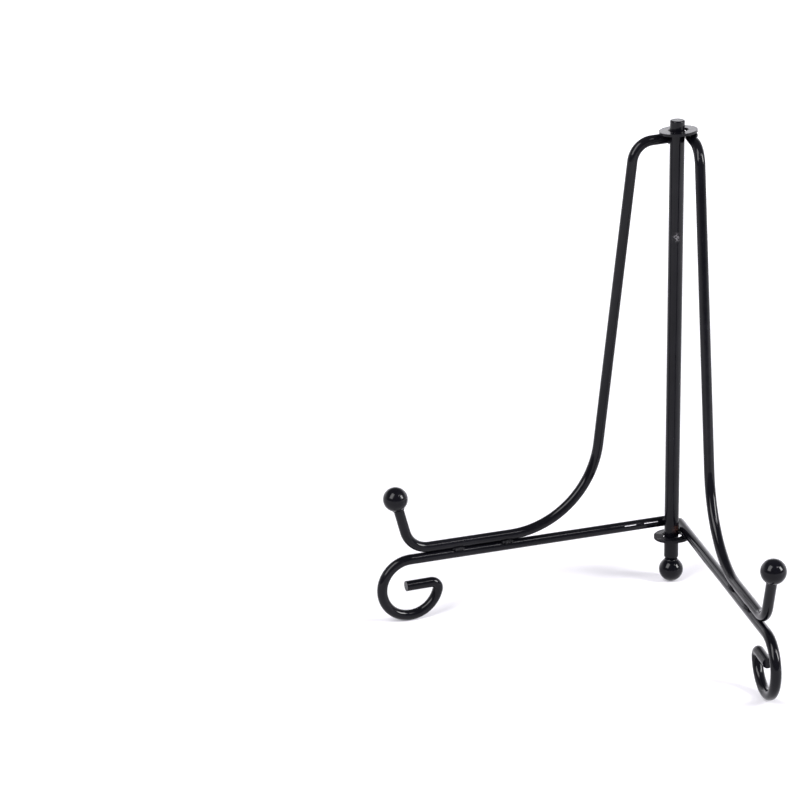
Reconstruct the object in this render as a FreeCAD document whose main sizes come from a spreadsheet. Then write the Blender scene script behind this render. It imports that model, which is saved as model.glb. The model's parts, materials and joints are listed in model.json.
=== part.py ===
import FreeCAD, Part
import Sketcher
import math
import os
from FreeCAD import Vector

# Plate display stand: a round post on a ball foot, one wire wing welded to the post and a second
# wing that swings about it on two washers. Each wing is two bent wires welded one above the other.
# The upper wire runs down from the post as the leg that a plate leans on, then along as the arm
# that it sits on, and turns up into a hook with a ball. The lower wire braces the arm to the foot
# of the post and ends in a scroll that stands on the table.
#
# Frame: millimetres, +Z up along the post's axis, origin on the table under the ball foot.
# The fixed wing points along -X. The swing wing stands wing_opening degrees on from it, counted
# anticlockwise seen from above.
#
# A wing is drawn in its own coordinates: reach (local X) outwards from the post's axis, side
# (local Y) across the wing, and height (local Z) above the table.

DIMENSIONS = [
    # centre post and balls
    ("post_diameter", 6.2, "centre post"),
    ("post_height", 205.0, "top of the post above the table"),
    ("post_top_round", 0.6, "rounded top edge of the post"),
    ("post_taper_height", 11.4, "where the post starts to narrow towards its foot"),
    ("post_tip_height", 10.1, "where the narrowing ends"),
    ("post_tip_diameter", 4.8, "foot end of the post, on the ball"),
    ("ball_diameter", 10.4, "foot ball and hook balls"),
    # wires
    ("wire_diameter", 4.4, "wire with its coating"),
    ("weld_gap", 0.1, "gap that a weld bridges"),
    ("swing_clearance", 0.3, "air between the post and the swing wing's wires"),
    # fixed wing's bends
    ("fixed_top_overrun", 1.0, "how far the upper wire's end passes the post's axis"),
    ("fixed_brace_overrun", 1.0, "how far the lower wire's end passes the post's axis"),
    ("fixed_top_height", 196.3, "upper wire's end"),
    ("fixed_shoulder_reach", 16.7, "corner between the short top run and the leg"),
    ("fixed_shoulder_height", 195.9, "corner between the short top run and the leg"),
    ("fixed_leg_foot_reach", 36.6, "corner between leg and arm"),
    ("fixed_hook_reach", 118.2, "corner between arm and hook"),
    ("fixed_hook_ball_reach", 124.4, "hook ball's centre"),
    ("fixed_hook_ball_height", 55.5, "hook ball's centre"),
    ("fixed_brace_height", 25.7, "lower wire's end"),
    ("fixed_scroll_reach", 118.5, "scroll's centre"),
    # swing wing's bends
    ("swing_top_overrun", 3.0, "how far the upper wire's end passes the post's axis"),
    ("swing_brace_overrun", 7.0, "how far the lower wire's end passes the post's axis"),
    ("swing_top_height", 197.7, "upper wire's end"),
    ("swing_shoulder_reach", 13.8, "corner between the short top run and the leg"),
    ("swing_shoulder_height", 196.1, "corner between the short top run and the leg"),
    ("swing_leg_foot_reach", 42.1, "corner between leg and arm"),
    ("swing_hook_reach", 117.5, "corner between arm and hook"),
    ("swing_hook_ball_reach", 125.8, "hook ball's centre"),
    ("swing_hook_ball_height", 56.5, "hook ball's centre"),
    ("swing_brace_height", 23.3, "lower wire's end"),
    ("swing_scroll_reach", 119.9, "scroll's centre"),
    # bends that both wings share
    ("shoulder_bend", 8.9, "bend radius at the shoulder"),
    ("leg_bend", 40.0, "bend radius between leg and arm"),
    ("hook_bend", 11.0, "bend radius of the hook"),
    ("scroll_radius", 12.6, "scroll's large arc"),
    ("curl_radius", 3.0, "tight bend inside the scroll"),
    ("curl_angle", 13.5, "tight bend's centre, below the level of the scroll's centre"),
    ("curl_end_length", 11.3, "straight end piece inside the scroll"),
    # washers
    ("washer_diameter", 16.0, "outside"),
    ("washer_hole", 8.4, "inside"),
    ("washer_thickness", 1.1, "plate"),
    ("washer_shift", 0.5, "washer's centre, towards the wire that it is welded to"),
    ("top_washer_roll", 3.5, "degrees, outer side up"),
    ("top_washer_pitch", 2.0, "degrees, front up"),
    ("low_washer_roll", 2.0, "degrees, outer side up"),
    ("low_washer_pitch", 2.5, "degrees, front up"),
    # welds
    ("ball_weld_radius", 0.5, "bead round a ball's joint"),
    ("post_weld_length", 2.0, "half length of a bead on the post"),
    ("post_weld_depth", 1.4, "half depth of a bead on the post"),
    ("post_weld_height", 1.2, "half height of a bead on the post"),
    ("post_weld_offset", 1.1, "a post bead's centre, up or down from its wire's"),
    ("seam_weld_length", 3.0, "half length of a bead between two wires"),
    ("seam_weld_depth", 1.1, "half depth of a bead between two wires"),
    ("seam_weld_height", 1.1, "half height of a bead between two wires"),
    ("inner_seam_reach", 75.0, "bead between the wires, near the leg"),
    ("outer_seam_reach", 97.0, "bead between the wires, near the hook"),
    ("washer_weld_length", 2.4, "half length of a bead on a washer"),
    ("washer_weld_depth", 1.1, "half depth of a bead on a washer"),
    ("washer_weld_height", 1.4, "half height of a bead on a washer"),
    # stance
    ("wing_opening", 79.7, "degrees between the wings"),
]

doc = FreeCAD.newDocument("plate_display_stand")
sheet = doc.addObject("Spreadsheet::Sheet", "Dims")
for row, (alias, value, meaning) in enumerate(DIMENSIONS, start=1):
    sheet.set("A%d" % row, alias)
    sheet.set("B%d" % row, str(value))
    sheet.set("C%d" % row, meaning)
    sheet.setAlias("B%d" % row, alias)
doc.recompute()


class Size:
    """A size as the expression that ties it to the sheet, with the number it stands for."""

    def __init__(self, text, value):
        self.text = text
        self.value = value

    def join(self, sign, other, value):
        return Size("(%s %s %s)" % (self.text, sign, other.text), value)

    def __add__(self, other):
        return self.join("+", other, self.value + other.value)

    def __sub__(self, other):
        return self.join("-", other, self.value - other.value)

    def __mul__(self, other):
        return self.join("*", other, self.value * other.value)

    def __truediv__(self, other):
        return self.join("/", other, self.value / other.value)


def number(value):
    return Size(repr(float(value)), float(value))


def dim(alias):
    return Size("Dims." + alias, float(getattr(sheet, alias)))


def half(alias):
    return dim(alias) / number(2)


def minus(size):
    return number(-1) * size


def sine(angle):
    return Size("sin(%s)" % angle.text, math.sin(math.radians(angle.value)))


def cosine(angle):
    return Size("cos(%s)" % angle.text, math.cos(math.radians(angle.value)))


def tangent(angle):
    return Size("tan(%s)" % angle.text, math.tan(math.radians(angle.value)))


def arcsine(ratio):
    return Size("asin(%s)" % ratio.text, math.degrees(math.asin(ratio.value)))


def arctangent(ratio):
    return Size("atan(%s)" % ratio.text, math.degrees(math.atan(ratio.value)))


def root(size):
    return Size("sqrt(%s)" % size.text, math.sqrt(size.value))


NONE = number(0)
X_AXIS = "vector(1; 0; 0)"
Y_AXIS = "vector(0; 1; 0)"
Z_AXIS = "vector(0; 0; 1)"
BALL_CENTRE_HEIGHT = half("ball_diameter")
WIRE_RADIUS = half("wire_diameter")


# ---- placing ----

def spot(reach, side, height, axis=Z_AXIS, angle=NONE):
    """Text of a placement: a point, and a turn about an axis through it."""
    point = "vector(%s; %s; %s)" % (reach.text, side.text, height.text)
    return "placement(%s; rotation(%s; %s))" % (point, axis, angle.text)


def bind(thing, **sizes):
    for name, size in sizes.items():
        thing.setExpression(name, size.text)


def place(thing, *spots):
    thing.setExpression("Placement", " * ".join(spots))


# ---- building blocks ----

def origin_plane(body, role):
    return [item for item in body.Origin.OriginFeatures if item.Role == role][0]


def new_sketch(body, name, role):
    sketch = body.newObject("Sketcher::SketchObject", name)
    sketch.AttachmentSupport = (origin_plane(body, role), "")
    sketch.MapMode = "FlatFace"
    return sketch


def drive(sketch, name, kind, *arguments):
    """Adds a dimension to a sketch and ties it to the sheet. The last argument is its Size."""
    size = arguments[-1]
    index = sketch.addConstraint(Sketcher.Constraint(kind, *arguments[:-1], size.value))
    sketch.renameConstraint(index, name)
    sketch.setExpression("Constraints." + name, size.text)


def pin_point(sketch, name, geometry, position, reach, height):
    """Fixes a point of a sketch from the sketch's origin."""
    drive(sketch, name + "_reach", "DistanceX", -1, 1, geometry, position, reach)
    drive(sketch, name + "_height", "DistanceY", -1, 1, geometry, position, height)


def ball(name, *spots):
    sphere = doc.addObject("Part::Sphere", name)
    bind(sphere, Radius=half("ball_diameter"))
    place(sphere, *spots)
    return sphere


def cut_away(name, base, tools):
    """The base without the tools, so that the pieces meet face to face."""
    for count, tool in enumerate(tools, start=1):
        cut = doc.addObject("Part::Cut", name if count == len(tools) else "%s_%d" % (name, count))
        cut.Base = base
        cut.Tool = tool
        base = cut
    return base


def weld_bead(name, sizes, spots, neighbours):
    """A bead of weld metal: a rounded lump that fills the corner between its neighbours."""
    lump = doc.addObject("Part::Ellipsoid", name + "_lump")
    length, depth, height = sizes
    bind(lump, Radius2=length, Radius3=depth, Radius1=height)
    place(lump, *spots)
    return cut_away(name, lump, neighbours)


def weld_ring(name, rod_diameter, spots, neighbours):
    """The ring of weld metal round a rod that ends on a ball."""
    ring = doc.addObject("Part::Torus", name + "_ring")
    bind(ring, Radius1=rod_diameter / number(2), Radius2=dim("ball_weld_radius"))
    place(ring, *spots)
    return cut_away(name, ring, neighbours)


def joint_height(rod_diameter):
    """Distance from a ball's centre to the circle where a rod meets its surface."""
    ball_radius = half("ball_diameter")
    rod_radius = rod_diameter / number(2)
    return root(ball_radius * ball_radius - rod_radius * rod_radius)


def sweep_wire(body, spine, start_reach, start_height, start_slope):
    """Sweeps the wire's round section along a centre line that starts at the given slope."""
    section = new_sketch(body, body.Name + "_section", "YZ_Plane")
    offset = spot(NONE, start_height, start_reach, X_AXIS, minus(start_slope))
    section.setExpression("AttachmentOffset", offset)
    circle = section.addGeometry(Part.Circle(Vector(0, 0, 0), Vector(0, 0, 1), WIRE_RADIUS.value))
    section.addConstraint(Sketcher.Constraint("Coincident", circle, 3, -1, 1))
    drive(section, "wire_diameter", "Diameter", circle, dim("wire_diameter"))
    pipe = body.newObject("PartDesign::AdditivePipe", body.Name + "_sweep")
    pipe.Profile = section
    pipe.Spine = (spine, [])
    spine.Visibility = False
    return pipe


# ---- wire centre lines ----

def bend_points(before, corner, after, radius):
    """Where a bend of the given radius leaves one straight run and joins the next, its centre,
    and whether it turns anticlockwise."""
    incoming = (before - corner).normalize()
    outgoing = (after - corner).normalize()
    half_angle = incoming.getAngle(outgoing) / 2
    back_off = radius / math.tan(half_angle)
    first = corner + incoming * back_off
    last = corner + outgoing * back_off
    centre = corner + (incoming + outgoing).normalize() * (radius / math.sin(half_angle))
    anticlockwise = outgoing.cross(incoming).z > 0
    return first, last, centre, anticlockwise


def arc_between(centre, radius, start, end):
    """The anticlockwise arc from start to end."""
    start_angle = math.atan2(start.y - centre.y, start.x - centre.x)
    end_angle = math.atan2(end.y - centre.y, end.x - centre.x)
    if end_angle < start_angle:
        end_angle += 2 * math.pi
    return Part.ArcOfCircle(Part.Circle(centre, Vector(0, 0, 1), radius), start_angle, end_angle)


def rounded_path(body, name, corners, bends):
    """Centre line of straight runs with a tangent arc at each inner corner."""
    sketch = new_sketch(body, name, "XZ_Plane")
    points = [Vector(reach.value, height.value, 0) for reach, height in corners]
    run_start = points[0]
    join = None
    for index, bend in enumerate(bends, start=1):
        before, corner, after = points[index - 1], points[index], points[index + 1]
        first, last, centre, anticlockwise = bend_points(before, corner, after, bend.value)
        run = sketch.addGeometry(Part.LineSegment(run_start, first))
        arc_ends = (first, last) if anticlockwise else (last, first)
        arc = sketch.addGeometry(arc_between(centre, bend.value, *arc_ends))
        arc_in, arc_out = (1, 2) if anticlockwise else (2, 1)
        mark = sketch.addGeometry(Part.Point(corner), True)
        pin_point(sketch, "corner_%d" % index, mark, 1, *corners[index])
        sketch.addConstraint(Sketcher.Constraint("PointOnObject", mark, 1, run))
        drive(sketch, "bend_%d" % index, "Radius", arc, bend)
        sketch.addConstraint(Sketcher.Constraint("Tangent", run, 2, arc, arc_in))
        if join:
            sketch.addConstraint(Sketcher.Constraint("Tangent", join[0], join[1], run, 1))
            sketch.addConstraint(Sketcher.Constraint("PointOnObject", join[2], 1, run))
        else:
            pin_point(sketch, "start", run, 1, *corners[0])
        join = (arc, arc_out, mark)
        run_start = last
    last_run = sketch.addGeometry(Part.LineSegment(run_start, points[-1]))
    sketch.addConstraint(Sketcher.Constraint("Tangent", join[0], join[1], last_run, 1))
    sketch.addConstraint(Sketcher.Constraint("PointOnObject", join[2], 1, last_run))
    pin_point(sketch, "end", last_run, 2, *corners[-1])
    return sketch


def scroll_path(body, name, start_reach, start_height, scroll_reach, slope):
    """Centre line of a straight run into a large clockwise arc, a tight bend and a short end."""
    sketch = new_sketch(body, name, "XZ_Plane")
    radius, curl = dim("scroll_radius"), dim("curl_radius")
    centre_height = radius + WIRE_RADIUS
    centre = Vector(scroll_reach.value, centre_height.value, 0)
    curl_offset = (radius - curl) * cosine(dim("curl_angle"))
    curl_drop = (radius - curl) * sine(dim("curl_angle"))
    curl_centre = centre - Vector(curl_offset.value, curl_drop.value, 0)
    start = Vector(start_reach.value, start_height.value, 0)
    rise = Vector(-sine(slope).value, cosine(slope).value, 0)
    top = centre + rise * radius.value
    meet = centre + (curl_centre - centre).normalize() * radius.value
    curl_top = curl_centre + Vector(0, curl.value, 0)
    end = curl_top + Vector(dim("curl_end_length").value, 0, 0)

    run = sketch.addGeometry(Part.LineSegment(start, top))
    large = sketch.addGeometry(arc_between(centre, radius.value, meet, top))
    tight = sketch.addGeometry(arc_between(curl_centre, curl.value, curl_top, meet))
    tail = sketch.addGeometry(Part.LineSegment(curl_top, end))
    pin_point(sketch, "start", run, 1, start_reach, start_height)
    pin_point(sketch, "scroll", large, 3, scroll_reach, centre_height)
    drive(sketch, "scroll_radius", "Radius", large, radius)
    drive(sketch, "curl_radius", "Radius", tight, curl)
    drive(sketch, "curl_offset", "DistanceX", tight, 3, large, 3, curl_offset)
    sketch.addConstraint(Sketcher.Constraint("Tangent", run, 2, large, 2))
    sketch.addConstraint(Sketcher.Constraint("Tangent", large, 1, tight, 2))
    sketch.addConstraint(Sketcher.Constraint("Tangent", tight, 1, tail, 1))
    sketch.addConstraint(Sketcher.Constraint("Horizontal", tail))
    drive(sketch, "end_length", "Distance", tail, dim("curl_end_length"))
    return sketch


# ---- post and foot ----

def make_foot_ball():
    return ball("foot_ball", spot(NONE, NONE, BALL_CENTRE_HEIGHT))


def make_post(foot_ball):
    """A round bar: rounded top edge, foot end narrowed and seated on the foot ball."""
    body = doc.addObject("PartDesign::Body", "post_blank")
    sketch = new_sketch(body, "post_outline", "XZ_Plane")
    outline = [
        (NONE, BALL_CENTRE_HEIGHT),
        (half("post_tip_diameter"), BALL_CENTRE_HEIGHT),
        (half("post_tip_diameter"), dim("post_tip_height")),
        (half("post_diameter"), dim("post_taper_height")),
        (half("post_diameter"), dim("post_height")),
        (NONE, dim("post_height")),
    ]
    points = [Vector(radius.value, height.value, 0) for radius, height in outline]
    for index, point in enumerate(points):
        sketch.addGeometry(Part.LineSegment(point, points[(index + 1) % len(points)]))
    for index, (radius, height) in enumerate(outline):
        sketch.addConstraint(
            Sketcher.Constraint("Coincident", index, 2, (index + 1) % len(outline), 1))
        pin_point(sketch, "corner_%d" % index, index, 1, radius, height)
    turned = body.newObject("PartDesign::Revolution", "post_turned")
    turned.Profile = sketch
    turned.ReferenceAxis = (sketch, ["V_Axis"])
    turned.Angle = 360
    doc.recompute()
    height = dim("post_height").value
    top_edges = [
        "Edge%d" % count for count, edge in enumerate(turned.Shape.Edges, start=1)
        if edge.BoundBox.ZMin > height - 1e-6 and isinstance(edge.Curve, Part.Circle)]
    rounded = body.newObject("PartDesign::Fillet", "post_top_edge")
    rounded.Base = (turned, top_edges)
    bind(rounded, Radius=dim("post_top_round"))
    return cut_away("centre_post", body, [foot_ball])


# ---- wings ----

class Wing:
    """One wing's place and the sizes that the two wings do not share."""

    def __init__(self, name, azimuth, inward, plane_offset):
        self.name = name
        self.frame = spot(NONE, NONE, NONE, Z_AXIS, azimuth)
        self.inward = number(inward)
        self.side = minus(self.inward * plane_offset)
        self.top = self.own("top_height")
        self.brace_height = self.own("brace_height")
        self.top_start = minus(self.own("top_overrun"))
        self.brace_start = minus(self.own("brace_overrun"))
        self.brace_slope = self.slope_of_brace()

    def own(self, alias):
        """A size of this wing alone."""
        return dim("%s_%s" % (self.name, alias))

    def slope_of_brace(self):
        """Slope of the line from the lower wire's start that touches the scroll's large arc."""
        across = self.own("scroll_reach") - self.brace_start
        rise = dim("scroll_radius") + WIRE_RADIUS - self.brace_height
        distance = root(across * across + rise * rise)
        return arcsine(dim("scroll_radius") / distance) + arctangent(rise / across)

    def brace_at(self, reach):
        """Height of the lower wire's centre line at a reach along its straight run."""
        return self.brace_height + (reach - self.brace_start) * tangent(self.brace_slope)

    def arm_at(self, reach):
        """Height of the arm's centre line: it lies along the top of the lower wire."""
        apart = dim("wire_diameter") + dim("weld_gap")
        return self.brace_at(reach) + apart / cosine(self.brace_slope)

    def seam_at(self, reach):
        """Height midway between the arm and the lower wire."""
        apart = dim("wire_diameter") + dim("weld_gap")
        return self.brace_at(reach) + apart / cosine(self.brace_slope) / number(2)

    def at(self, reach, side, height, axis=Z_AXIS, angle=NONE):
        """A spot on the wing; side is counted from the plane of its wires, inwards positive."""
        return [self.frame, spot(reach, self.side + self.inward * side, height, axis, angle)]

    def piece(self, name):
        return "%s_%s" % (self.name, name)


def make_hook_ball(wing):
    centre = wing.at(wing.own("hook_ball_reach"), NONE, wing.own("hook_ball_height"))
    return ball(wing.piece("hook_ball"), *centre)


def make_upper_wire(wing, hook_ball):
    """From the post over the shoulder, down the leg, along the arm and up the hook."""
    body = doc.addObject("PartDesign::Body", wing.piece("upper_wire_blank"))
    shoulder_reach, shoulder_height = wing.own("shoulder_reach"), wing.own("shoulder_height")
    leg_foot_reach, hook_reach = wing.own("leg_foot_reach"), wing.own("hook_reach")
    corners = [
        (wing.top_start, wing.top),
        (shoulder_reach, shoulder_height),
        (leg_foot_reach, wing.arm_at(leg_foot_reach)),
        (hook_reach, wing.arm_at(hook_reach)),
        (wing.own("hook_ball_reach"), wing.own("hook_ball_height")),
    ]
    bends = [dim("shoulder_bend"), dim("leg_bend"), dim("hook_bend")]
    spine = rounded_path(body, wing.piece("upper_wire_line"), corners, bends)
    fall = (wing.top - shoulder_height) / (shoulder_reach - wing.top_start)
    sweep_wire(body, spine, wing.top_start, wing.top, minus(arctangent(fall)))
    place(body, *wing.at(NONE, NONE, NONE))
    return cut_away(wing.piece("upper_wire"), body, [hook_ball])


def make_lower_wire(wing):
    """From the post straight out along the arm and round the scroll foot."""
    body = doc.addObject("PartDesign::Body", wing.piece("lower_wire"))
    start = (wing.brace_start, wing.brace_height)
    end_reach = wing.own("scroll_reach")
    spine = scroll_path(body, wing.piece("lower_wire_line"), *start, end_reach, wing.brace_slope)
    sweep_wire(body, spine, *start, wing.brace_slope)
    place(body, *wing.at(NONE, NONE, NONE))
    return body


def make_hook_weld(wing, hook_ball, upper_wire):
    """Ring of weld where the hook's stem meets its ball."""
    across = wing.own("hook_ball_reach") - wing.own("hook_reach")
    up = wing.own("hook_ball_height") - wing.arm_at(wing.own("hook_reach"))
    lean = arctangent(across / up)
    back = joint_height(dim("wire_diameter"))
    reach = wing.own("hook_ball_reach") - back * sine(lean)
    height = wing.own("hook_ball_height") - back * cosine(lean)
    spots = wing.at(reach, NONE, height, Y_AXIS, lean)
    weld_ring(wing.piece("hook_weld"), dim("wire_diameter"), spots, [hook_ball, upper_wire])


def make_seam_welds(wing, upper_wire, lower_wire):
    """Two beads in the groove between the arm and the lower wire, on the plate's side."""
    sizes = [dim("seam_weld_length"), dim("seam_weld_depth"), dim("seam_weld_height")]
    side = WIRE_RADIUS - dim("seam_weld_depth") / number(2)
    for place_name in ("inner", "outer"):
        reach = dim(place_name + "_seam_reach")
        spots = wing.at(reach, side, wing.seam_at(reach), Y_AXIS, minus(wing.brace_slope))
        name = wing.piece("seam_weld_" + place_name)
        weld_bead(name, sizes, spots, [upper_wire, lower_wire])


def make_post_welds(wing, post, upper_wire, lower_wire):
    """Beads that join the fixed wing's two wires to the post: one under the upper wire and one
    over the lower wire, both clear of the washers."""
    sizes = [dim("post_weld_length"), dim("post_weld_depth"), dim("post_weld_height")]
    side = WIRE_RADIUS / number(2)
    reach = dim("post_weld_length") / number(2)
    for place_name, wire, height in (
            ("top", upper_wire, wing.top - dim("post_weld_offset")),
            ("foot", lower_wire, wing.brace_height + dim("post_weld_offset"))):
        spots = wing.at(reach, side, height)
        weld_bead("post_weld_" + place_name, sizes, spots, [post, wire])


def make_washer(name, wing, height, roll, pitch):
    """A plain washer, loose round the post. It is drawn from its lower face upwards."""
    body = doc.addObject("PartDesign::Body", name)
    sketch = new_sketch(body, name + "_outline", "XY_Plane")
    for label in ("washer_diameter", "washer_hole"):
        circle = Part.Circle(Vector(0, 0, 0), Vector(0, 0, 1), half(label).value)
        index = sketch.addGeometry(circle)
        sketch.addConstraint(Sketcher.Constraint("Coincident", index, 3, -1, 1))
        drive(sketch, label, "Diameter", index, dim(label))
    pad = body.newObject("PartDesign::Pad", name + "_plate")
    pad.Profile = sketch
    bind(pad, Length=dim("washer_thickness"))
    level = spot(NONE, dim("washer_shift"), height)
    rolled = spot(NONE, NONE, NONE, X_AXIS, roll)
    pitched = spot(NONE, NONE, NONE, Y_AXIS, minus(pitch))
    place(body, wing.frame, level, rolled, pitched)
    return body


def washer_fall(wing, roll):
    """Height that a tilted washer loses between its wire and its own centre."""
    return (wing.side - dim("washer_shift")) * tangent(roll)


def make_top_washer(wing):
    roll, pitch = dim("top_washer_roll"), dim("top_washer_pitch")
    height = wing.top + WIRE_RADIUS + dim("weld_gap") - washer_fall(wing, roll)
    return make_washer("top_washer", wing, height, roll, pitch)


def make_low_washer(wing):
    roll, pitch = dim("low_washer_roll"), dim("low_washer_pitch")
    wire_foot = wing.brace_at(NONE) - WIRE_RADIUS
    top_face = wire_foot - dim("weld_gap") - washer_fall(wing, roll)
    return make_washer("low_washer", wing, top_face - dim("washer_thickness"), roll, pitch)


def make_washer_welds(wing, top_washer, low_washer, upper_wire, lower_wire):
    """Beads that join the swing wing's wires to its washers, out of the post's way."""
    sizes = [dim("washer_weld_length"), dim("washer_weld_depth"), dim("washer_weld_height")]
    outward = minus(dim("washer_weld_depth"))
    top_spots = wing.at(dim("washer_weld_length"), outward, wing.top + WIRE_RADIUS / number(2))
    weld_bead("washer_weld_top", sizes, top_spots, [top_washer, upper_wire])
    low_height = wing.brace_height - WIRE_RADIUS / number(2)
    low_reach = dim("washer_weld_length") + WIRE_RADIUS
    low_spots = wing.at(low_reach, dim("washer_weld_depth"), low_height)
    weld_bead("washer_weld_low", sizes, low_spots, [low_washer, lower_wire])


# ---- the stand ----

foot_ball = make_foot_ball()
centre_post = make_post(foot_ball)
foot_joint = BALL_CENTRE_HEIGHT + joint_height(dim("post_tip_diameter"))
weld_ring("foot_weld", dim("post_tip_diameter"), [spot(NONE, NONE, foot_joint)],
          [foot_ball, centre_post])

beside_post = half("post_diameter") + WIRE_RADIUS
fixed = Wing("fixed", number(180), 1, beside_post + dim("weld_gap"))
swing = Wing("swing", number(180) + dim("wing_opening"), -1,
             beside_post + dim("swing_clearance"))

wires = {}
for wing in (fixed, swing):
    hook_ball = make_hook_ball(wing)
    upper_wire = make_upper_wire(wing, hook_ball)
    lower_wire = make_lower_wire(wing)
    make_hook_weld(wing, hook_ball, upper_wire)
    make_seam_welds(wing, upper_wire, lower_wire)
    wires[wing.name] = (upper_wire, lower_wire)

make_post_welds(fixed, centre_post, *wires["fixed"])
top_washer = make_top_washer(swing)
low_washer = make_low_washer(swing)
make_washer_welds(swing, top_washer, low_washer, *wires["swing"])

NODES = [
    "centre_post", "foot_ball", "foot_weld",
    "fixed_upper_wire", "fixed_lower_wire", "fixed_hook_ball", "fixed_hook_weld",
    "fixed_seam_weld_inner", "fixed_seam_weld_outer", "post_weld_top", "post_weld_foot",
    "swing_upper_wire", "swing_lower_wire", "swing_hook_ball", "swing_hook_weld",
    "swing_seam_weld_inner", "swing_seam_weld_outer",
    "top_washer", "low_washer", "washer_weld_top", "washer_weld_low",
]


def check_and_export():
    """Stops if any object failed or any sub-part is empty or invalid, then writes the parts."""
    doc.recompute()
    failed = [item.Name for item in doc.Objects if {"Invalid", "Error"} & set(item.State)]
    if failed:
        raise RuntimeError("failed to recompute: " + ", ".join(failed))
    parts = [doc.getObject(name) for name in NODES]
    for part in parts:
        if part.Shape.isNull() or not part.Shape.isValid() or not part.Shape.Solids:
            raise RuntimeError("bad shape: " + part.Name)
    os.makedirs("parts", exist_ok=True)
    for part in parts:
        part.Label = part.Name
        part.Shape.exportStep("parts/%s.step" % part.Label)
        print("%-24s %8.2f mm3  %d solid(s)" % (
            part.Label, part.Shape.Volume, len(part.Shape.Solids)))


check_and_export()
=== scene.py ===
import json
import math

import bpy
from mathutils import Matrix, Vector, noise


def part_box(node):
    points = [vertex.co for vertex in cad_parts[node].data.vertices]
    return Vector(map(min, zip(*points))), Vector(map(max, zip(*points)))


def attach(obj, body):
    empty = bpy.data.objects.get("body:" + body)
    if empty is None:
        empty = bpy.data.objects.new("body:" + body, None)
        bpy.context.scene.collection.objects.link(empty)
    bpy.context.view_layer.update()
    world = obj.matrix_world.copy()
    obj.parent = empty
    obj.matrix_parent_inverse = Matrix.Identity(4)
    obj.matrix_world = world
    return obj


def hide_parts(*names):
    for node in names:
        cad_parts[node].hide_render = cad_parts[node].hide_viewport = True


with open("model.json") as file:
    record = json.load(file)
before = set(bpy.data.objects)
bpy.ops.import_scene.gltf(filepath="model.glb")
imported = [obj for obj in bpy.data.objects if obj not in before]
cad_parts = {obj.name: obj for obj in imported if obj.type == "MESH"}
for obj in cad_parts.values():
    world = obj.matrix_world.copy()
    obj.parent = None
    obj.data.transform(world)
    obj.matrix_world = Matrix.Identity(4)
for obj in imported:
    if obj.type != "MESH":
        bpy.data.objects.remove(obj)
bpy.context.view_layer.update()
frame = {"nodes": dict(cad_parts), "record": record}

# Plate display stand in gloss black powder coat, on a white studio floor.
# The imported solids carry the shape. This script gives them their coat, builds the weld beads as
# lumpy metal of their own, and sets up the floor, the lights and the camera.

NODES = frame["nodes"]
BODY_OF = {node: body for body, nodes in frame["record"]["behaviour"]["bodies"].items()
           for node in nodes}
SLOT_OF = {part["node"]: part["material_slot"] for part in frame["record"]["subparts"]}
MM = 0.001


# ---------------------------------------------------------------- shader nodes

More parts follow.
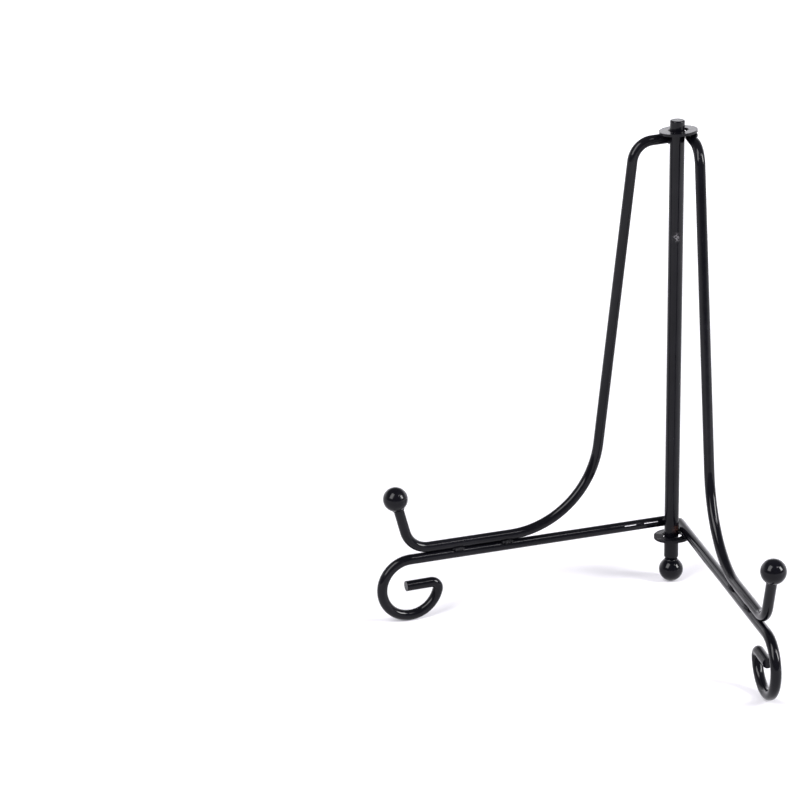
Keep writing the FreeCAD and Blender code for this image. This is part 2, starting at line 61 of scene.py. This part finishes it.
class Shader:
    """A material's node tree, with short calls for the nodes that the coats use."""

    def __init__(self, name):
        self.material = bpy.data.materials.new(name)
        self.material.use_nodes = True
        self.tree = self.material.node_tree
        self.tree.nodes.clear()
        self.coords = self.node("ShaderNodeTexCoord").outputs["Object"]

    def node(self, kind, **settings):
        made = self.tree.nodes.new(kind)
        for key, value in settings.items():
            setattr(made, key, value)
        return made

    def feed(self, socket, value):
        if isinstance(value, bpy.types.NodeSocket):
            self.tree.links.new(value, socket)
        else:
            socket.default_value = value

    def math(self, operation, *values):
        made = self.node("ShaderNodeMath", operation=operation)
        for socket, value in zip(made.inputs, values):
            self.feed(socket, value)
        return made.outputs[0]

    def vector(self, operation, first, second):
        made = self.node("ShaderNodeVectorMath", operation=operation)
        self.feed(made.inputs[0], first)
        self.feed(made.inputs[1], second)
        return made.outputs

    def scaled(self, vector, factor):
        made = self.node("ShaderNodeVectorMath", operation="SCALE")
        self.feed(made.inputs[0], vector)
        self.feed(made.inputs["Scale"], factor)
        return made.outputs[0]

    def noise(self, per_metre, detail=2.0, roughness=0.5, vector=None):
        made = self.node("ShaderNodeTexNoise")
        self.feed(made.inputs["Vector"], vector or self.coords)
        made.inputs["Scale"].default_value = per_metre
        made.inputs["Detail"].default_value = detail
        made.inputs["Roughness"].default_value = roughness
        return made.outputs["Fac"]

    def cells(self, per_metre):
        """Distance to the nearest of a set of random points."""
        made = self.node("ShaderNodeTexVoronoi", feature="F1")
        self.feed(made.inputs["Vector"], self.coords)
        made.inputs["Scale"].default_value = per_metre
        return made.outputs["Distance"]

    def ramp(self, value, low, high, to_low=0.0, to_high=1.0):
        made = self.node("ShaderNodeMapRange", interpolation_type="SMOOTHSTEP")
        for index, given in enumerate((value, low, high, to_low, to_high)):
            self.feed(made.inputs[index], given)
        return made.outputs[0]

    def held(self, value):
        """A value held between 0 and 1."""
        made = self.node("ShaderNodeClamp")
        self.feed(made.inputs[0], value)
        return made.outputs[0]

    def mix(self, factor, first, second):
        made = self.node("ShaderNodeMix", data_type="RGBA")
        self.feed(made.inputs[0], factor)
        self.feed(made.inputs[6], first)
        self.feed(made.inputs[7], second)
        return made.outputs[2]

    def stretched(self, scale, turn):
        made = self.node("ShaderNodeMapping")
        self.feed(made.inputs["Vector"], self.coords)
        made.inputs["Scale"].default_value = scale
        made.inputs["Rotation"].default_value = turn
        return made.outputs[0]

    def near(self, point, core, reach):
        """1 within core metres of a point in the row frame, falling to 0 at reach metres."""
        gap = self.vector("DISTANCE", self.coords, point)["Value"]
        return self.ramp(gap, core, reach, 1.0, 0.0)

    def near_line(self, start, end, core, reach):
        """The same as near, for the line between two points."""
        along = end - start
        offset = self.vector("SUBTRACT", self.coords, start)["Vector"]
        share = self.vector("DOT_PRODUCT", offset, along / along.length_squared)["Value"]
        foot = self.scaled(along, self.held(share))
        gap = self.vector("DISTANCE", offset, foot)["Value"]
        return self.ramp(gap, core, reach, 1.0, 0.0)

    def bump(self, height, strength, depth, normal=None):
        made = self.node("ShaderNodeBump")
        made.inputs["Strength"].default_value = strength
        made.inputs["Distance"].default_value = depth
        self.feed(made.inputs["Height"], height)
        if normal:
            self.feed(made.inputs["Normal"], normal)
        return made.outputs[0]

    def finish(self, colour, roughness, normal, ior, glow=None):
        surface = self.node("ShaderNodeBsdfPrincipled")
        if glow:
            self.feed(surface.inputs["Emission Color"], glow)
            surface.inputs["Emission Strength"].default_value = 1.0
        self.feed(surface.inputs["Base Color"], colour)
        self.feed(surface.inputs["Roughness"], roughness)
        self.feed(surface.inputs["Normal"], normal)
        surface.inputs["IOR"].default_value = ior
        output = self.node("ShaderNodeOutputMaterial")
        self.tree.links.new(surface.outputs[0], output.inputs["Surface"])
        return self.material


# ---------------------------------------------------------------- powder coat

COAT_DARK = (0.0016, 0.0016, 0.0028, 1.0)
COAT_LIGHT = (0.0038, 0.0037, 0.0054, 1.0)
DUST = (0.055, 0.054, 0.058, 1.0)
CHALKY = (0.16, 0.155, 0.165, 1.0)
# a light grey that paints a highlight on the fixed wing's lower wire
GLINT_GREY = (0.62, 0.61, 0.64, 1.0)
PRIMER = (0.030, 0.0125, 0.0095, 1.0)
COAT_IOR = 1.25
GLOSS_SPREAD = 0.07
DULLEST = 0.9

# how fine each pattern is, in features per metre
CLOUDS = 55.0
HAIR_FIELDS = 90.0
WAVES = 150.0
GLOSS_CLOUDS = 170.0
NIB_FIELDS = 240.0
NIBS = 620.0
PEEL = 620.0
LUMPS = 900.0

# how deep each pattern is
WAVE_DEPTH = 0.10 * MM
NIB_DEPTH = 0.05 * MM
PEEL_DEPTH = 0.06 * MM
LUMP_DEPTH = 0.12 * MM

# the two families of hairline scratch: a turn in radians, then features per metre on each axis
HAIRS = ((0.35, (900.0, 40.0, 900.0)), (-0.6, (800.0, 800.0, 35.0)))
HAIR_TILT = 0.2
HAIR_TINT = 0.20
HAIR_DULL = 0.12
NIB_TINT = 0.35


class WearOrGlint:
    """How a patch of worn coat, or of painted highlight, looks: the grain that breaks it up, its
    tint and how dull it is.
    """

    def __init__(self, grain, detail, band, dull, tint=None, share=1.0):
        self.grain = grain
        self.detail = detail
        self.band = band
        self.dull = dull
        self.tint = tint
        self.share = share


SCUFFED = WearOrGlint(grain=1500.0, detail=2.0, band=(0.46, 0.56), dull=0.25, tint=CHALKY, share=0.7)
RUBBED = WearOrGlint(grain=900.0, detail=3.0, band=(0.38, 0.55), dull=0.25, tint=PRIMER, share=0.8)
# painted highlight: a broken light grey line that stands in for a glint on the wire
PAINTED_GLINT = WearOrGlint(grain=420.0, detail=1.0, band=(0.36, 0.47), dull=0.25, tint=GLINT_GREY)
MATT = WearOrGlint(grain=260.0, detail=2.0, band=(0.62, 0.50), dull=0.40)


def round_patch(point, core, reach):
    return lambda s: s.near(point, core, reach)


def long_patch(start, end, core, reach):
    return lambda s: s.near_line(start, end, core, reach)


def trapped_dust(s):
    """Sparse nibs of dust under the coat."""
    nib = s.ramp(s.cells(NIBS), 0.05, 0.16, 1.0, 0.0)
    return s.math("MULTIPLY", nib, s.ramp(s.noise(NIB_FIELDS, 1.0), 0.60, 0.70))


def hairlines(s):
    """Thin scratches in two directions, in patches."""
    lines = []
    for turn, squeeze in HAIRS:
        line = s.noise(1.0, 1.0, vector=s.stretched(squeeze, (turn, HAIR_TILT, turn)))
        line = s.ramp(s.math("ABSOLUTE", s.math("SUBTRACT", line, 0.5)), 0.002, 0.007, 1.0, 0.0)
        lines.append(s.math("MULTIPLY", line, s.ramp(s.noise(HAIR_FIELDS, 1.0), 0.58, 0.70)))
    return s.math("MAXIMUM", *lines)


def worn_or_glinting(s, colour, roughness, patch, wear_or_glint):
    """The colour and roughness with one patch of wear, or of painted highlight, laid over them."""
    grain = s.ramp(s.noise(wear_or_glint.grain, wear_or_glint.detail), *wear_or_glint.band)
    mark = s.math("MULTIPLY", patch(s), grain)
    if wear_or_glint.tint:
        colour = s.mix(s.math("MULTIPLY", mark, wear_or_glint.share), colour, wear_or_glint.tint)
    roughness = s.math("ADD", roughness, s.math("MULTIPLY", mark, wear_or_glint.dull))
    return colour, roughness


def powder_coat(name, gloss, peel, lumps=0.0, patches=()):
    """Gloss black powder coat: orange peel, trapped dust, fine scratches, and local wear or a
    painted highlight.
    """
    s = Shader(name)
    nibs = trapped_dust(s)
    hairs = hairlines(s)

    colour = s.mix(s.ramp(s.noise(CLOUDS, 4.0, 0.6), 0.35, 0.68), COAT_DARK, COAT_LIGHT)
    colour = s.mix(s.math("MULTIPLY", nibs, NIB_TINT), colour, DUST)
    colour = s.mix(s.math("MULTIPLY", hairs, HAIR_TINT), colour, DUST)
    roughness = s.ramp(s.noise(GLOSS_CLOUDS, 3.0, 0.6), 0.3, 0.7, gloss, gloss + GLOSS_SPREAD)
    roughness = s.math("ADD", roughness, s.math("MULTIPLY", hairs, HAIR_DULL))
    for patch, wear_or_glint in patches:
        colour, roughness = worn_or_glinting(s, colour, roughness, patch, wear_or_glint)
    roughness = s.math("MINIMUM", roughness, DULLEST)

    normal = s.bump(s.noise(PEEL, 2.0, 0.45), peel, PEEL_DEPTH)
    normal = s.bump(s.noise(WAVES, 2.0), 0.35, WAVE_DEPTH, normal)
    normal = s.bump(nibs, 0.5, NIB_DEPTH, normal)
    if lumps:
        normal = s.bump(s.noise(LUMPS, 3.0, 0.6), lumps, LUMP_DEPTH, normal)
    return s.finish(colour, roughness, normal, COAT_IOR)


# ---------------------------------------------------------------- where the coat is worn, and where a highlight is painted

POST_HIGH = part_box("centre_post")[1]
WASHER_LOW, WASHER_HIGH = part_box("low_washer")
BRACE_LOW, BRACE_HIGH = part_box("fixed_lower_wire")
POST_RADIUS = POST_HIGH.x

# the scuff three quarters of the way up the post, and the rub just over the low washer
SCUFF_BEARING = 246.8
SCUFF_HEIGHT = 0.759 * POST_HIGH.z
SCUFF_REACH = 2.6 * MM
RUB_BEARING = 284.9
RUB_HEIGHT = WASHER_HIGH.z + 3.4 * MM
RUB_REACH = 3.0 * MM

# a painted highlight along the fixed wing's lower wire: a broken light grey line, on the side that
# faces the swinging wing, that stands in for a glint
GLINT_START = 5.0 * MM
GLINT_END = 20.5 * MM
GLINT_HEIGHT = BRACE_HIGH.z - 2.8 * MM
GLINT_RISE = 0.3 * MM
GLINT_OFFSET = 0.1 * MM
GLINT_CORE = 0.12 * MM
GLINT_REACH = 0.30 * MM


def on_post(bearing, height):
    """A point on the post's surface; a bearing is in degrees from +X."""
    angle = math.radians(bearing)
    return Vector((POST_RADIUS * math.cos(angle), POST_RADIUS * math.sin(angle), height))


def on_brace(from_post, height):
    return Vector((-from_post, BRACE_LOW.y + GLINT_OFFSET, height))


POST_SCUFF = round_patch(on_post(SCUFF_BEARING, SCUFF_HEIGHT), 0.0, SCUFF_REACH)
POST_RUB = round_patch(on_post(RUB_BEARING, RUB_HEIGHT), 0.0, RUB_REACH)
# the painted highlight along the fixed wing's lower wire
BRACE_GLINT = long_patch(on_brace(GLINT_START, GLINT_HEIGHT),
                          on_brace(GLINT_END, GLINT_HEIGHT + GLINT_RISE),
                          GLINT_CORE, GLINT_REACH)
WHOLE_LOW_WASHER = round_patch((WASHER_LOW + WASHER_HIGH) / 2, 9.6 * MM, 12.0 * MM)

COATS = {
    "post_coat": powder_coat("post_coat", gloss=0.12, peel=0.22,
                             patches=[(POST_SCUFF, SCUFFED), (POST_RUB, RUBBED)]),
    # the wire coat carries the painted highlight on the fixed wing's lower wire
    "wire_coat": powder_coat("wire_coat", gloss=0.07, peel=0.14,
                             patches=[(BRACE_GLINT, PAINTED_GLINT)]),
    "ball_coat": powder_coat("ball_coat", gloss=0.10, peel=0.06),
    "washer_coat": powder_coat("washer_coat", gloss=0.16, peel=0.30,
                               patches=[(WHOLE_LOW_WASHER, MATT)]),
    "weld_coat": powder_coat("weld_coat", gloss=0.16, peel=0.30, lumps=0.5),
}


def dress(piece, slot):
    piece.data.materials.clear()
    piece.data.materials.append(COATS[slot])


# ---------------------------------------------------------------- weld beads

VOXEL = 0.11 * MM
PHASE_PER_METRE = 700.0
PHASE_SPREAD = 10.0

# in millimetres, and in features per millimetre
RIPPLE_PITCH = 1.1
WOBBLE = 0.9
ROUGH = 1.1
FINE = 3.1
WOBBLE_SHARE = 0.35
FINE_SHARE = 0.35

# ripple, lump and sink in millimetres
RING_BEAD = (0.03, 0.08, 0.0)
SEAM_BEAD = (0.13, 0.42, 0.26)
PLAIN_BEAD = (0.07, 0.16, 0.0)


def bead_kind(node):
    if node.endswith("hook_weld") or node == "foot_weld":
        return RING_BEAD
    return SEAM_BEAD if "seam" in node else PLAIN_BEAD


def remeshed(node):
    """A copy of a solid's mesh with small even faces."""
    source = NODES[node]
    grid = source.modifiers.new("even", "REMESH")
    grid.mode = "VOXEL"
    grid.voxel_size = VOXEL
    bpy.context.view_layer.update()
    evaluated = source.evaluated_get(bpy.context.evaluated_depsgraph_get())
    shape = bpy.data.meshes.new_from_object(evaluated)
    source.modifiers.remove(grid)
    return shape


def long_axis(low, high):
    size = high - low
    return max(range(3), key=lambda axis: size[axis])


def bead_rise(at, axis, phase, ripple, lump):
    """How far a bead's surface stands out at a point, both in millimetres."""
    wobble = noise.noise(at * WOBBLE + Vector((phase, 0.0, 0.0)))
    turns = at[axis] / RIPPLE_PITCH + WOBBLE_SHARE * wobble
    wave = math.sin(2.0 * math.pi * turns + phase)
    rough = noise.noise(at * ROUGH + Vector((0.0, phase, 0.0)))
    fine = noise.noise(at * FINE + Vector((0.0, 0.0, phase)))
    return ripple * wave + lump * (rough + FINE_SHARE * fine)


def weld_bead(node, ripple, lump, sink):
    """A solid bead made uneven: rippled along its length, lumpy, and sunk in its groove."""
    shape = remeshed(node)
    low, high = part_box(node)
    axis = long_axis(low, high)
    phase = PHASE_SPREAD * noise.noise(low * PHASE_PER_METRE)
    moves = []
    for vertex in shape.vertices:
        rise = bead_rise(vertex.co / MM, axis, phase, ripple, lump)
        moves.append(vertex.normal * (rise - sink) * MM)
    for vertex, move in zip(shape.vertices, moves):
        vertex.co += move
    for polygon in shape.polygons:
        polygon.use_smooth = True
    piece = bpy.data.objects.new(node + "_bead", shape)
    bpy.context.collection.objects.link(piece)
    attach(piece, BODY_OF[node])
    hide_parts(node)
    dress(piece, SLOT_OF[node])


for node_name, node_object in NODES.items():
    if "weld" in node_name:
        weld_bead(node_name, *bead_kind(node_name))
    else:
        dress(node_object, SLOT_OF[node_name])


# ---------------------------------------------------------------- studio

STAND_MIDDLE = Vector((-0.045, -0.045, 0.07))
LIGHT_DISTANCE = 1.5
FLOOR_REACH = 9.0
FLOOR_TONES = ((0.65, 0.64, 0.665, 1.0), (0.68, 0.67, 0.695, 1.0))
FLOOR_MIDDLE = (-0.05, -0.05, 0.0)
GLOW_NEAR, GLOW_FAR = (0.13, 0.13, 0.14, 1.0), (0.80, 0.80, 0.82, 1.0)
BACKDROP_WAY = (0.348, 0.937, 0.0)
ROOM_TONE, BACKDROP_TONE = (0.28, 0.28, 0.30, 1.0), (2.40, 2.38, 2.50, 1.0)


def studio_floor():
    """A white table top, large enough to fill every view, that brightens away from the stand."""
    corners = [(x * FLOOR_REACH, y * FLOOR_REACH, 0.0)
               for x, y in ((-1, -1), (1, -1), (1, 1), (-1, 1))]
    shape = bpy.data.meshes.new("studio_floor")
    shape.from_pydata(corners, [], [(0, 1, 2, 3)])
    floor = bpy.data.objects.new("studio_floor", shape)
    bpy.context.collection.objects.link(floor)
    s = Shader("studio_floor")
    colour = s.mix(s.noise(6.0, 3.0), *FLOOR_TONES)
    glow = s.mix(s.near(FLOOR_MIDDLE, 0.15, 1.1), GLOW_FAR, GLOW_NEAR)
    grain = s.bump(s.noise(900.0, 2.0), 0.1, 0.05 * MM)
    shape.materials.append(s.finish(colour, 0.55, grain, 1.3, glow))


def softbox(name, towards, width, height, radiance, colour):
    """A rectangular light that faces the stand."""
    data = bpy.data.lights.new(name, "AREA")
    data.shape = "RECTANGLE"
    data.size, data.size_y = width, height
    data.energy = radiance * math.pi * width * height
    data.color = colour
    light = bpy.data.objects.new(name, data)
    bpy.context.collection.objects.link(light)
    away = Vector(towards).normalized()
    light.location = STAND_MIDDLE + away * LIGHT_DISTANCE
    light.rotation_euler = (-away).to_track_quat("-Z", "Y").to_euler()


def room():
    """A dim room with a bright backdrop, low on the far side of the table."""
    world = bpy.data.worlds.new("room")
    bpy.context.scene.world = world
    world.use_nodes = True
    tree = world.node_tree
    tree.nodes.clear()
    made = {key: tree.nodes.new("ShaderNode" + kind) for key, kind in (
        ("coords", "TexCoord"), ("behind", "VectorMath"), ("split", "SeparateXYZ"),
        ("side", "MapRange"), ("level", "MapRange"), ("both", "Math"), ("tint", "Mix"),
        ("back", "Background"), ("out", "OutputWorld"))}
    made["behind"].operation = "DOT_PRODUCT"
    made["behind"].inputs[1].default_value = BACKDROP_WAY
    for key, low, high in (("side", -0.3, 0.75), ("level", 0.62, 0.12)):
        made[key].interpolation_type = "SMOOTHSTEP"
        made[key].inputs[1].default_value = low
        made[key].inputs[2].default_value = high
    made["both"].operation = "MULTIPLY"
    made["tint"].data_type = "RGBA"
    made["tint"].inputs[6].default_value = ROOM_TONE
    made["tint"].inputs[7].default_value = BACKDROP_TONE
    for source, output, target, socket in (
            ("coords", "Generated", "behind", 0), ("coords", "Generated", "split", 0),
            ("behind", "Value", "side", 0), ("split", "Z", "level", 0),
            ("side", 0, "both", 0), ("level", 0, "both", 1), ("both", 0, "tint", 0),
            ("tint", 2, "back", 0), ("back", 0, "out", 0)):
        tree.links.new(made[source].outputs[output], made[target].inputs[socket])


# ---------------------------------------------------------------- camera

CAMERA_PLACE = Vector((-511.31, -1044.96, 508.44)) * MM
CAMERA_HEADING = math.radians(20.3709)
CAMERA_DIP = math.radians(20.0884)
CAMERA_ROLL = math.radians(-1.1189)
CAMERA_LENS = 131.0
CAMERA_SENSOR = 36.0

# a share of the picture's width
FRAMING_SHIFT = 0.000625


def camera():
    """Seen from the front left and 20 degrees above, from over a metre away."""
    data = bpy.data.cameras.new("camera")
    data.sensor_width = CAMERA_SENSOR
    data.lens = CAMERA_LENS
    data.clip_start, data.clip_end = 0.05, 50.0
    data.shift_x, data.shift_y = -FRAMING_SHIFT, FRAMING_SHIFT
    seen_by = bpy.data.objects.new("camera", data)
    bpy.context.collection.objects.link(seen_by)
    heading = Matrix.Rotation(-CAMERA_HEADING, 4, "Z")
    dip = Matrix.Rotation(math.pi / 2 - CAMERA_DIP, 4, "X")
    roll = Matrix.Rotation(CAMERA_ROLL, 4, "Z")
    seen_by.matrix_world = Matrix.Translation(CAMERA_PLACE) @ heading @ dip @ roll
    bpy.context.scene.camera = seen_by


studio_floor()
softbox("softbox_left", (-0.670, -0.253, 0.695), 0.75, 1.25, 10.5, (1.0, 0.99, 1.0))
softbox("softbox_right", (0.700, -0.549, 0.455), 0.42, 0.72, 33.0, (1.0, 0.995, 1.0))
softbox("strip_front", (0.347, -0.551, 0.759), 0.34, 0.10, 26.0, (1.0, 0.98, 1.0))
room()
camera()
bpy.context.scene.view_settings.view_transform = "Standard"
